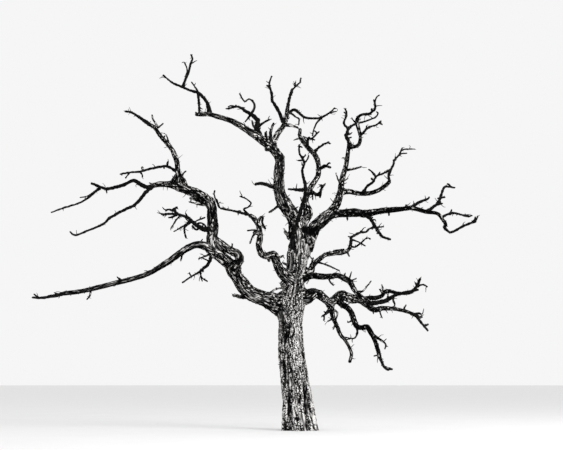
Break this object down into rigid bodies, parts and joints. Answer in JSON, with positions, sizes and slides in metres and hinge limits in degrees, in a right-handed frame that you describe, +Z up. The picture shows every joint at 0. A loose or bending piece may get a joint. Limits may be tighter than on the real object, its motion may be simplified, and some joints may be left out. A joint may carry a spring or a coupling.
{
  "type": "dead tree",
  "caption": "Leafless dead tree with a leaning, furrowed trunk, gnarled tapering boughs and bare broken twigs, rooted in level ground.",
  "frame": {"origin": "on the flat cut under the trunk, at ground level, at the middle of its foot", "axes": "+Z up, +X to the right in the picture, -Y toward the eye"},
  "size_m": [10.9496, 6.6938, 9.4749],
  "materials": {
    "trunk_bark": "weathered bark, dark furrows between pale plates, dry and matt",
    "bough_bark": "dark, cracked bark with paler bare wood in streaks, dry and matt",
    "bare_twigs": "dark, rough, dry twigs with broken ends"
  },
  "bodies": {
    "root": {"crooked_arm": "bough_bark", "far_drooping_limb": "bough_bark", "far_drooping_twigs": "bare_twigs", "hooked_limb_lower": "bough_bark", "hooked_limb_upper": "bough_bark", "hooked_tip_twigs": "bare_twigs", "inner_spire_twigs": "bare_twigs", "left_arc": "bough_bark", "left_arc_side_twigs": "bare_twigs", "left_arc_tip_twigs": "bare_twigs", "left_arm_lower_twigs": "bare_twigs", "left_arm_tip_twigs": "bare_twigs", "left_bough": "bough_bark", "left_leader": "bough_bark", "left_loop": "bough_bark", "left_low_limb": "bough_bark", "left_tangle_twigs": "bare_twigs", "left_under_twigs": "bare_twigs", "left_upright": "bough_bark", "low_limb_tip_twigs": "bare_twigs", "low_right_bough_inner": "bough_bark", "low_right_bough_outer": "bough_bark", "low_right_tip_twigs": "bare_twigs", "middle_limb_lower": "bough_bark", "middle_limb_upper": "bough_bark", "middle_right_twigs": "bare_twigs", "middle_side_twigs": "bare_twigs", "middle_tip_twigs": "bare_twigs", "near_drooping_limb": "bough_bark", "near_drooping_twigs": "bare_twigs", "right_arm_cross_twigs": "bare_twigs", "right_arm_tip_twigs": "bare_twigs", "right_bough_drooping_twigs": "bare_twigs", "right_bough_inner": "bough_bark", "right_bough_mid_twigs": "bare_twigs", "right_bough_outer": "bough_bark", "right_bough_tip_twigs": "bare_twigs", "right_bough_upper_twigs": "bare_twigs", "right_leader": "bough_bark", "right_loop": "bough_bark", "right_loop_side_twigs": "bare_twigs", "right_loop_tip_twigs": "bare_twigs", "right_lower_arm": "bough_bark", "right_mid_limb": "bough_bark", "right_mid_tip_twigs": "bare_twigs", "right_upright": "bough_bark", "right_upright_tip_twigs": "bare_twigs", "rising_limb": "bough_bark", "rising_tip_twigs": "bare_twigs", "spire": "bough_bark", "spire_left_twigs": "bare_twigs", "spire_right_twigs": "bare_twigs", "spire_tip_twigs": "bare_twigs", "top_left_limb": "bough_bark", "top_riser_twigs": "bare_twigs", "top_upright_twigs": "bare_twigs", "trunk": "trunk_bark", "upper_strand": "bough_bark", "upper_strand_twigs": "bare_twigs"}
  },
  "joints": []
}
